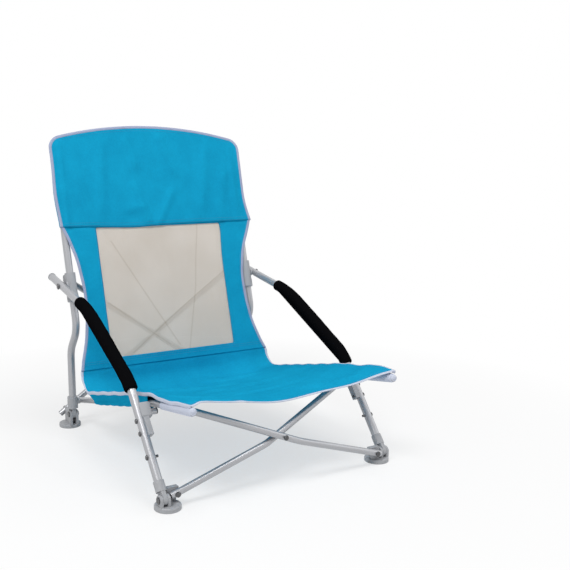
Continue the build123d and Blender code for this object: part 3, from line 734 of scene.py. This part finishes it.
def stitch_nodes():
    """Node group that sets a short thread on every step of a run of edges."""
    group = bpy.data.node_groups.new("stitch_run", "GeometryNodeTree")
    group.interface.new_socket("Geometry", in_out="INPUT", socket_type="NodeSocketGeometry")
    for name in ("Spacing", "Length", "Radius"):
        group.interface.new_socket(name, in_out="INPUT", socket_type="NodeSocketFloat")
    group.interface.new_socket("Material", in_out="INPUT", socket_type="NodeSocketMaterial")
    group.interface.new_socket("Geometry", in_out="OUTPUT", socket_type="NodeSocketGeometry")
    make = group.nodes.new
    given, result = make("NodeGroupInput"), make("NodeGroupOutput")
    curve, resample = make("GeometryNodeMeshToCurve"), make("GeometryNodeResampleCurve")
    resample.mode = "LENGTH"
    tangent, turn = make("GeometryNodeInputTangent"), make("FunctionNodeAlignRotationToVector")
    rod, spread = make("GeometryNodeMeshCylinder"), make("GeometryNodeInstanceOnPoints")
    rod.inputs["Vertices"].default_value = 6
    real, paint = make("GeometryNodeRealizeInstances"), make("GeometryNodeSetMaterial")
    links = (
        (given, "Geometry", curve, 0),
        (curve, 0, resample, "Curve"),
        (given, "Spacing", resample, "Length"),
        (resample, 0, spread, "Points"),
        (given, "Radius", rod, "Radius"),
        (given, "Length", rod, "Depth"),
        (rod, "Mesh", spread, "Instance"),
        (tangent, 0, turn, "Vector"),
        (turn, 0, spread, "Rotation"),
        (spread, 0, real, 0),
        (real, 0, paint, "Geometry"),
        (given, "Material", paint, "Material"),
        (paint, 0, result, "Geometry"),
    )
    for source, output, target, entry in links:
        group.links.new(source.outputs[output], target.inputs[entry])
    return group


def stitched(name, runs, settings):
    """Mesh of stitches along several runs of points."""
    verts, edges = [], []
    for run in runs:
        first = len(verts)
        verts.extend(run)
        edges.extend((first + i, first + i + 1) for i in range(len(run) - 1))
    obj = new_object(name, verts, [], edges=edges)
    group = bpy.data.node_groups.get("stitch_run") or stitch_nodes()
    modifier = obj.modifiers.new("stitches", "NODES")
    modifier.node_group = group
    values = {
        "Spacing": settings.stitch_spacing,
        "Length": settings.stitch_spacing * 0.62,
        "Radius": settings.thread_radius,
        "Material": material("thread"),
    }
    for item in group.interface.items_tree:
        if item.in_out == "INPUT" and item.name in values:
            modifier[item.identifier] = values[item.name]
    return baked(obj)


# Pieces


def carry_over():
    """Finishes on the frame's own nodes."""
    for slot, stems in SLOTS.items():
        for stem in stems:
            for name in (stem, stem + "_left", stem + "_right"):
                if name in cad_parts:
                    dressed(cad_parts[name], slot)


def foam_path():
    """Axis of the foam grip in the arm's plane."""
    start = Vector(ARM[1]) + (Vector(ARM[0]) - Vector(ARM[1])).normalized() * FOAM_START
    end = Vector(ARM[2]) + (Vector(ARM[3]) - Vector(ARM[2])).normalized() * FOAM_END
    return Path(filleted((start, ARM[1], ARM[2], end), ARM_BENDS, 0.003))


def make_foam(side):
    """Foam sleeve with rolled ends round the bend of an arm."""
    path, sides, hand = foam_path(), 40, HANDS[side]
    trim = FOAM_TRIM[side]
    length = path.length - trim
    straight = FOAM_R - FOAM_ROLL
    profile = [(0.0, TUBE_R + FOAM_GAP), (0.0, straight)]
    for angle in (0.4, 0.8, 1.2, pi / 2):
        profile.append((FOAM_ROLL * (1 - cos(angle)), straight + FOAM_ROLL * sin(angle)))
    middle = [(length * i / 90, FOAM_R) for i in range(3, 88)]
    mirrored = [(length - d, r) for d, r in reversed(profile)]
    verts, uvs = [], []
    for distance, radius in profile + middle + mirrored:
        y, z = path.at(trim + distance)
        run = path.run(trim + distance)
        around = sin(distance * 210) * 0.00012 + sin(distance * 57) * 0.0002
        for k in range(sides):
            angle = 2 * pi * k / sides
            reach = radius + (around if radius == FOAM_R else 0.0)
            out, up = reach * cos(angle), reach * sin(angle)
            verts.append((side * (ARM_X + out), y - DEPTH_MIDDLE - run.y * up, z + run.x * up))
            uvs.append((distance, angle * FOAM_R))
    rows = len(profile) * 2 + len(middle)
    faces = grid_faces(rows, sides, wrap=True)
    last = (rows - 1) * sides
    faces += [(k, last + k, last + (k + 1) % sides, (k + 1) % sides) for k in range(sides)]
    obj = faces_out(new_object("foam_" + hand, verts, faces, uvs))
    placed(obj, "arm_leg_" + hand, ["foam_grip_" + hand], "black_foam")


def hood_rim(across, share):
    """0 over most of the hood, 1 at its rim: its two sides and its top seam."""
    half = HOOD_LOW_HALF + (HOOD_TOP_HALF - HOOD_LOW_HALF) * share
    over = max(abs(across) * half - (half - HOOD_FALL), 0.0) / HOOD_FALL
    closing = max(share - 0.92, 0.0) / 0.08
    return 1 - sqrt(max(1 - over * over, 0.0)) * sqrt(max(1 - closing * closing, 0.0))


def hood_shares():
    """Shares across the hood, closer together at its rounded sides."""
    inner = evenly(-0.88, 0.88, 60)
    outer = [1 - 0.12 * (1 - sin(a * pi / 24)) for a in range(1, 13)]
    return [-s for s in reversed(outer)] + inner + outer


def hood_point(across, share, layer, depth):
    """Point on the front (-1) or rear (1) layer of the hood; the front one laps the back's top edge."""
    x = across * (HOOD_LOW_HALF + (HOOD_TOP_HALF - HOOD_LOW_HALF) * share)
    lap = 0.0
    if layer < 0:
        lap = HOOD_LAP + 0.004 * bump(x, -0.06, 0.08)
    height = HOOD_HEM - lap + share * (hood_top(across * HOOD_TOP_HALF) - HOOD_HEM + lap)
    rim = hood_rim(across, share)
    x += slack(x, height)
    if layer > 0:
        return back_place(x, HOOD_HALF_DEPTH - (HOOD_HALF_DEPTH + HOOD_RIM) * rim, height)
    free = smooth(share / 0.15)
    sag = BACK_SAG * (1 - (x / BACK_SAG_HALF) ** 2) * (1 - share) ** 1.5
    sewn = 0.0006 * (1 - free)
    fold = depth * soft_fold(x, height, HOOD_FOLDS) * (1 - rim)
    rolled = (HOOD_HALF_DEPTH - HOOD_RIM) * rim * free
    return back_place(x, sag - HOOD_HALF_DEPTH + rolled - sewn - fold, height)


def make_hood(settings):
    """Headrest hood: two layers that meet round the uprights and at the top seam."""
    shares, rows = hood_shares(), 48
    verts, uvs = [], []
    for r in range(rows + 1):
        share = 1 - (1 - r / rows) ** 1.25
        for layer, order in ((-1, shares), (1, shares[-2:0:-1])):
            for across in order:
                verts.append(hood_point(across, share, layer, settings.fold_depth))
                uvs.append((across * HOOD_LOW_HALF, share * (HOOD_CROWN - HOOD_HEM)))
    columns = 2 * len(shares) - 2
    obj = welded(new_object("hood", verts, grid_faces(rows + 1, columns, wrap=True), uvs))
    thickened(obj, settings.cloth_thickness)
    on_back(obj, ["headrest_hood"], "blue_cloth")


def window_ring(offset):
    """Points round the mesh window, grown by an offset, clockwise from its top left corner."""
    half, low, high = MESH_HALF + offset, MESH_LOW - offset, MESH_HIGH + offset
    radius = MESH_CORNER + max(offset, 0.0)
    corners = (
        (-half + radius, high - radius, 180),
        (half - radius, high - radius, 90),
        (half - radius, low + radius, 0),
        (-half + radius, low + radius, -90),
    )
    arcs = []
    for x, y, start in corners:
        angles = [radians(a) for a in evenly(start, start - 90, ARC_STEPS)]
        arcs.append([Vector((x + radius * cos(a), y + radius * sin(a))) for a in angles])
    points = []
    half_arc = ARC_STEPS // 2
    for arc, following in zip(arcs, arcs[1:] + arcs[:1]):
        points.extend(arc[half_arc:])
        points.extend(arc[-1].lerp(following[0], k / WINDOW_STEPS) for k in range(1, WINDOW_STEPS))
        points.extend(following[:half_arc])
    return points


def outline_ring():
    """Points round the back's outline, matched to the window's ring."""
    total = WINDOW_STEPS + ARC_STEPS
    top, low = HOOD_HEM - 0.0004, BACK_HEM
    down, up = evenly(top, low, total)[:-1], evenly(low, top, total)[:-1]
    points = [Vector((x, top)) for x in evenly(-BACK_TOP_HALF, BACK_TOP_HALF, total)[:-1]]
    points += [Vector((back_half(height), height)) for height in down]
    points += [Vector((back_half(low) * (1 - 2 * k / total), low)) for k in range(total)]
    points += [Vector((-back_half(height), height)) for height in up]
    return points


def make_back(settings):
    """Cloth frame of the back round the mesh window."""
    rings = 16
    inner, outer = window_ring(0.0), outline_ring()
    verts, uvs = [], []
    for r in range(rings + 1):
        for a, b in zip(inner, outer):
            x, height = a.lerp(b, r / rings)
            verts.append(back_surface(x, height, settings.fold_depth))
            uvs.append((x, height))
    obj = new_object("back", verts, grid_faces(rings + 1, len(inner), wrap=True), uvs)
    thickened(obj, settings.cloth_thickness)
    on_back(obj, ["back_panel"], "blue_cloth")


def make_mesh():
    """Mesh panel in the back's window, sewn in behind its edge."""
    ring, rings = window_ring(MESH_SEAM), 28
    middle = Vector((0.0, (MESH_LOW + MESH_HIGH) / 2))
    places = [middle.lerp(p, r / rings) for r in range(1, rings + 1) for p in ring] + [middle]
    verts = [back_surface(x, height, 0.0) + to_rear(MESH_BEHIND) for x, height in places]
    hub, count = len(places) - 1, len(ring)
    faces = grid_faces(rings, count, wrap=True) + [(hub, (k + 1) % count, k) for k in range(count)]
    obj = new_object("mesh", verts, faces, [tuple(p) for p in places])
    thickened(obj, MESH_THICKNESS)
    on_back(obj, ["mesh_panel"], "pale_mesh")


def make_seat(settings):
    """Seat cloth that sags between its sides."""
    columns, rows = 81, 110
    verts, uvs = [], []
    for r in range(rows):
        for c in range(columns):
            across = -1 + 2 * c / (columns - 1)
            start = seat_front(across)
            distance = start + (SEAT_PATH.length - start) * r / (rows - 1)
            verts.append(seat_surface(across, distance, settings.fold_depth))
            uvs.append((across * SEAT_REAR_HALF, distance))
    obj = new_object("seat", verts, grid_faces(rows, columns), uvs)
    thickened(obj, settings.cloth_thickness)
    on_seat(obj, ["seat_panel"], "blue_cloth")


def rail_at(y, run):
    """Centre of the side rail at a depth on its rear (0) or front (1) run."""
    (ax, ay, az), (bx, by, bz) = RAIL[run : run + 2]
    share = (ay - y) / (ay - by)
    return ax + (bx - ax) * share, az + (bz - az) * share


def edge_distance(y):
    """Distance along the seat's side edge at a depth."""
    low, high = 0.0, SEAT_PATH.length * 0.9
    for _ in range(40):
        middle = (low + high) / 2
        if SEAT_PATH.at(middle).x < y:
            low = middle
        else:
            high = middle
    return low


def edge_height(y):
    """Height of the seat's side edge at a depth."""
    return SEAT_PATH.at(edge_distance(y)).y


def sleeve_section(y, side, settings):
    """Loop of cloth from the seat's edge down round the rail and up to the seat's underside."""
    half, top = seat_half(y) + side * seat_slack(side, y), edge_height(y)
    x, z = rail_at(y, 0)
    loose = 0.3 * settings.fold_depth * (1.0 + sin(y * 165) + 0.5 * sin(y * 71))
    loop = [Vector((half - 0.0005, top - 0.0025))]
    for degrees in evenly(8, -188, 12):
        angle = radians(degrees)
        low = loose * max(-sin(angle), 0.0)
        loop.append(Vector((x + SLEEVE_R * cos(angle), z + SLEEVE_R * sin(angle) - low)))
    inside = half - SLEEVE_INSET
    under = top - SEAT_FRONT_SAG * 0.7 * (1 - (inside / half) ** 2) - 0.004
    loop.append(Vector((inside, max(under, z + 0.002))))
    return Path(loop)


def make_sleeve(side, settings):
    """Cloth sleeve under one side of the seat, round the rail."""
    rows, columns, hand = 90, 33, HANDS[side]
    verts, uvs, girth = [], [], 0.0
    for y in evenly(SLEEVE_REAR, SLEEVE_FRONT, rows - 1):
        section = sleeve_section(y, side, settings)
        girth = max(girth, section.length)
        for distance in evenly(0.0, section.length, columns - 1):
            x, z = section.at(distance)
            verts.append((side * x, y - DEPTH_MIDDLE, z))
            uvs.append((distance, y))
    faces = grid_faces(rows, columns)
    if side < 0:
        faces = [tuple(reversed(f)) for f in faces]
    obj = new_object("sleeve_" + hand, verts, faces, uvs)
    thickened(obj, settings.cloth_thickness)
    placed(obj, "side_rail_" + hand, ["side_sleeve_" + hand], "blue_cloth")


def make_pocket(side, settings):
    """Cup of tape at a front corner of the seat, from its edge round the tip of the rail."""
    rows, columns, hand = 44, 32, HANDS[side]
    verts, uvs = [], []
    for r in range(rows):
        y = POCKET_REAR + (POCKET_TIP - POCKET_REAR) * sin(r / (rows - 1) * pi / 2)
        x, z = rail_at(y, 1)
        near = max(1 - (y - POCKET_TIP) / POCKET_NOSE, 0.0)
        fill = sqrt(max(1 - near * near, 0.0))
        distance = edge_distance(y)
        cloth = min(seat_surface(side * a, distance, settings.fold_depth).z for a in POCKET_UNDER)
        rise = max(cloth - POCKET_BELOW - z - POCKET_R, 0.0)
        for k in range(columns):
            angle = 2 * pi * k / columns
            up = POCKET_R * sin(angle) + rise * max(sin(angle), 0.0) ** 3
            out = x + POCKET_R * fill * cos(angle)
            verts.append((side * out, y - DEPTH_MIDDLE, z + fill * up))
            uvs.append((angle * POCKET_R, y))
    obj = welded(new_object("pocket_" + hand, verts, grid_faces(rows, columns, wrap=True), uvs))
    thickened(faces_out(obj), settings.cloth_thickness * 0.7)
    placed(obj, "side_rail_" + hand, [], "pale_binding", "seat_binding")


def surface_tape(name, place, steps, settings):
    """Folded edge tape: for a share, place gives a point on the cloth's edge and one just inside it."""
    points, normals = [], []
    pairs = [place(i / steps) for i in range(steps + 1)]
    for i, (edge, inside) in enumerate(pairs):
        ahead = pairs[min(i + 1, steps)][0] - pairs[max(i - 1, 0)][0]
        inward = (inside - edge).normalized()
        points.append(edge + inward * settings.tape_width * 0.3)
        normals.append(inward.cross(ahead.normalized()))
    obj = oval_tube(name, points, normals, settings.tape_width / 2, 0.0015, 14)
    return faces_out(obj)


def hood_edge(share):
    """Places for the tape up one side of the hood, over its top and down the other side."""
    rise = min(share, 1 - share) / 0.25
    across = sin(min(max(share - 0.25, 0.0) / 0.5, 1.0) * pi - pi / 2)
    edge = hood_point(across, min(rise, 1.0), -1, 0.0)
    return edge, hood_point(across * 0.96, min(rise, 0.96), -1, 0.0)


def back_edge(side, depth, share):
    """Places for the tape down one side of the back."""
    height = HOOD_HEM + (BACK_HEM - HOOD_HEM) * share
    half = back_half(height)
    inside = back_surface(side * (half - 0.005), height, depth)
    return back_surface(side * half, height, depth), inside


def front_edge(depth, share):
    """Places for the tape along the seat's front."""
    across = -1 + 2 * share
    start = seat_front(across)
    return seat_surface(across, start, depth), seat_surface(across, start + 0.006, depth)


def side_edge(side, depth, share):
    """Places for the tape along one side of the seat: it hangs down, and turns in near the back."""
    start = seat_front(side)
    distance = start + (SEAT_PATH.length - SEAT_LAP + 0.005 - start) * share
    edge = seat_surface(side, distance, depth)
    inward = seat_surface(side * 0.975, distance, depth)
    upright = smooth((distance - SEAT_PATH.length + 0.08) / 0.05)
    return edge, edge.lerp(inward, upright) - Vector((0, 0, 0.003))


def make_bindings(settings):
    """Pale edge tapes round the hood's rim, on the back's sides and the seat's edges."""
    depth = settings.fold_depth
    hood = surface_tape("hood_tape", hood_edge, 240, settings)
    on_back(hood, ["hood_binding"], "pale_binding")
    for side, hand in HANDS.items():
        tape = surface_tape("back_tape_" + hand, partial(back_edge, side, depth), 120, settings)
        on_back(tape, ["back_bindings"], "pale_binding")
    front = surface_tape("seat_front_tape", partial(front_edge, depth), 120, settings)
    on_seat(front, ["seat_front_binding"], "pale_binding", "seat_binding")
    for side, hand in HANDS.items():
        tape = surface_tape("seat_tape_" + hand, partial(side_edge, side, depth), 160, settings)
        on_seat(tape, ["seat_side_bindings"], "pale_binding", "seat_binding")


def make_stitching(settings):
    """Thread runs along the seams of the back, the hood and the seat."""
    depth, lift, steps = settings.fold_depth, settings.cloth_thickness * 0.5, 120
    ahead = to_rear(-lift)
    ring = window_ring(0.003)
    runs = [[back_surface(p.x, p.y, depth) + ahead for p in ring + ring[:1]]]
    for share, half in ((0.015, 0.96), (0.045, 0.96), (0.955, 0.9)):
        runs.append([hood_point(a, share, -1, depth) + ahead for a in evenly(-half, half, steps)])
    for height in (MESH_LOW - 0.005, MESH_LOW - 0.0095):
        half = back_half(height) - 0.006
        runs.append([back_surface(x, height, depth) + ahead for x in evenly(-half, half, steps)])
    heights = evenly(HOOD_HEM - 0.004, BACK_HEM + 0.002, steps)
    for side in HANDS:
        runs.append([back_surface(side * (back_half(h) - 0.008), h, depth) + ahead for h in heights])
    on_back(stitched("back_stitching", runs, settings), [], "blue_cloth", "thread")
    raised = Vector((0, 0, lift))
    runs = []
    for inset in (0.007, 0.012):
        shares = evenly(-0.96, 0.96, steps)
        runs.append([seat_surface(a, seat_front(a) + inset, depth) + raised for a in shares])
    marks = evenly(0.012, SEAT_PATH.length - SEAT_LAP, 200)
    for side in HANDS:
        runs.append([seat_surface(side * 0.966, m, depth) + raised for m in marks])
    on_seat(stitched("seat_stitching", runs, settings), [], "blue_cloth", "thread")


def make_stage():
    """Pale floor, soft light and the camera of the photo."""
    size = FLOOR_HALF
    corners = [(-size, -size, 0), (size, -size, 0), (size, size, 0), (-size, size, 0)]
    floor = dressed(new_object("floor", corners, [(0, 1, 2, 3)]), "floor_white")
    scene = bpy.context.scene
    scene.view_settings.view_transform = "Standard"
    world = bpy.data.worlds.new("studio")
    scene.world = world
    world.use_nodes = True
    sky = world.node_tree.nodes["Background"]
    sky.inputs["Color"].default_value = (1.0, 1.0, 1.0, 1.0)
    strength = Shading(world.node_tree).seen_directly() * (1 - SKY_LIGHT) + SKY_LIGHT
    world.node_tree.links.new(strength.output, sky.inputs["Strength"])
    for name, place, width, power in LAMPS:
        lamp = bpy.data.lights.new(name, "AREA")
        lamp.size = width
        lamp.energy = power
        obj = bpy.data.objects.new(name, lamp)
        obj.location = place
        obj.rotation_euler = (LAMP_TARGET - Vector(place)).to_track_quat("-Z", "Y").to_euler()
        scene.collection.objects.link(obj)
    camera = bpy.data.cameras.new("camera")
    camera.sensor_width = 36.0
    camera.lens = CAMERA_LENS
    camera.shift_x = SHIFT_X / PHOTO_SIZE
    camera.shift_y = SHIFT_Y / PHOTO_SIZE
    camera.clip_end = 100.0
    eye = bpy.data.objects.new("camera", camera)
    eye.location = CAMERA_PLACE
    eye.rotation_euler = (radians(90 - CAMERA_DOWN), 0.0, radians(CAMERA_TURN))
    scene.collection.objects.link(eye)
    scene.camera = eye


# Add-on


def length(name, description, default):
    """Setting with a length in metres."""
    return FloatProperty(name=name, description=description, default=default, unit="LENGTH")


def color(name, description, default):
    """Setting with a colour."""
    limits = {"min": 0.0, "max": 1.0, "subtype": "COLOR"}
    return FloatVectorProperty(name=name, description=description, default=default, **limits)


class CampChairSettings(bpy.types.PropertyGroup):
    """Sizes of the soft pieces and colours of the finishes."""

    cloth_thickness: length("Cloth thickness", "Thickness of the woven cloth", 0.0012)
    fold_depth: length("Fold depth", "Depth of the soft pulls in the cloth", 0.0018)
    tape_width: length("Tape width", "Width of the folded edge tape", 0.0068)
    stitch_spacing: length("Stitch spacing", "From one stitch to the next", 0.0042)
    thread_radius: length("Thread radius", "Radius of the sewing thread", 0.0004)
    cloth_color: color("Cloth", "Colour of the hood, back and seat", (0.011, 0.42, 0.69))
    mesh_color: color("Mesh", "Colour of the mesh in the back", (0.74, 0.67, 0.60))
    tape_color: color("Tape", "Colour of the tape on the hood and back", (0.42, 0.47, 0.63))
    seat_tape_color: color("Seat tape", "Colour of the tape on the seat", (0.66, 0.70, 0.81))
    thread_color: color("Thread", "Colour of the stitches", (0.02, 0.22, 0.42))
    foam_color: color("Foam", "Colour of the grips", (0.0025, 0.0025, 0.003))
    tube_color: color("Tube", "Colour of the frame's tubes", (0.45, 0.455, 0.475))
    plastic_color: color("Plastic", "Colour of the feet, brackets and boots", (0.42, 0.43, 0.45))


class CHAIR_OT_frame(bpy.types.Operator):
    """Put finishes on the tubes, mouldings and rivets"""

    bl_idname = "camp_chair.frame"
    bl_label = "Finish the frame"

    def execute(self, context):
        carry_over()
        return {"FINISHED"}


class CHAIR_OT_foam(bpy.types.Operator):
    """Make the two foam grips"""

    bl_idname = "camp_chair.foam"
    bl_label = "Foam grips"

    def execute(self, context):
        for side in HANDS:
            make_foam(side)
        return {"FINISHED"}


class CHAIR_OT_hood(bpy.types.Operator):
    """Make the headrest hood"""

    bl_idname = "camp_chair.hood"
    bl_label = "Headrest hood"

    def execute(self, context):
        make_hood(context.scene.camp_chair)
        return {"FINISHED"}


class CHAIR_OT_back(bpy.types.Operator):
    """Make the back's cloth frame and its mesh"""

    bl_idname = "camp_chair.back"
    bl_label = "Back and mesh"

    def execute(self, context):
        make_back(context.scene.camp_chair)
        make_mesh()
        return {"FINISHED"}


class CHAIR_OT_seat(bpy.types.Operator):
    """Make the seat cloth, the sleeves under its sides and the pockets at its corners"""

    bl_idname = "camp_chair.seat"
    bl_label = "Seat and sleeves"

    def execute(self, context):
        settings = context.scene.camp_chair
        make_seat(settings)
        for side in HANDS:
            make_sleeve(side, settings)
            make_pocket(side, settings)
        return {"FINISHED"}


class CHAIR_OT_bindings(bpy.types.Operator):
    """Make the pale edge tapes"""

    bl_idname = "camp_chair.bindings"
    bl_label = "Edge tapes"

    def execute(self, context):
        make_bindings(context.scene.camp_chair)
        return {"FINISHED"}


class CHAIR_OT_stitching(bpy.types.Operator):
    """Sew the seams"""

    bl_idname = "camp_chair.stitching"
    bl_label = "Stitching"

    def execute(self, context):
        make_stitching(context.scene.camp_chair)
        return {"FINISHED"}


class CHAIR_OT_stage(bpy.types.Operator):
    """Set the floor, the light and the camera"""

    bl_idname = "camp_chair.stage"
    bl_label = "Stage"

    def execute(self, context):
        make_stage()
        return {"FINISHED"}


OPERATORS = (
    CHAIR_OT_frame,
    CHAIR_OT_foam,
    CHAIR_OT_hood,
    CHAIR_OT_back,
    CHAIR_OT_seat,
    CHAIR_OT_bindings,
    CHAIR_OT_stitching,
    CHAIR_OT_stage,
)


class CHAIR_PT_panel(bpy.types.Panel):
    """Settings and steps of the chair"""

    bl_idname = "CHAIR_PT_panel"
    bl_label = "Camp chair"
    bl_space_type = "VIEW_3D"
    bl_region_type = "UI"
    bl_category = "Camp chair"

    def draw(self, context):
        settings = context.scene.camp_chair
        for name in settings.bl_rna.properties.keys():
            if name not in ("rna_type", "name"):
                self.layout.prop(settings, name)
        for operator in OPERATORS:
            self.layout.operator(operator.bl_idname)


CLASSES = (CampChairSettings, *OPERATORS, CHAIR_PT_panel)


def register():
    for kind in CLASSES:
        bpy.utils.register_class(kind)
    bpy.types.Scene.camp_chair = PointerProperty(type=CampChairSettings)


def unregister():
    del bpy.types.Scene.camp_chair
    for kind in reversed(CLASSES):
        bpy.utils.unregister_class(kind)


def main():
    register()
    for operator in OPERATORS:
        group, name = operator.bl_idname.split(".")
        getattr(getattr(bpy.ops, group), name)()


if __name__ == "__main__":
    main()
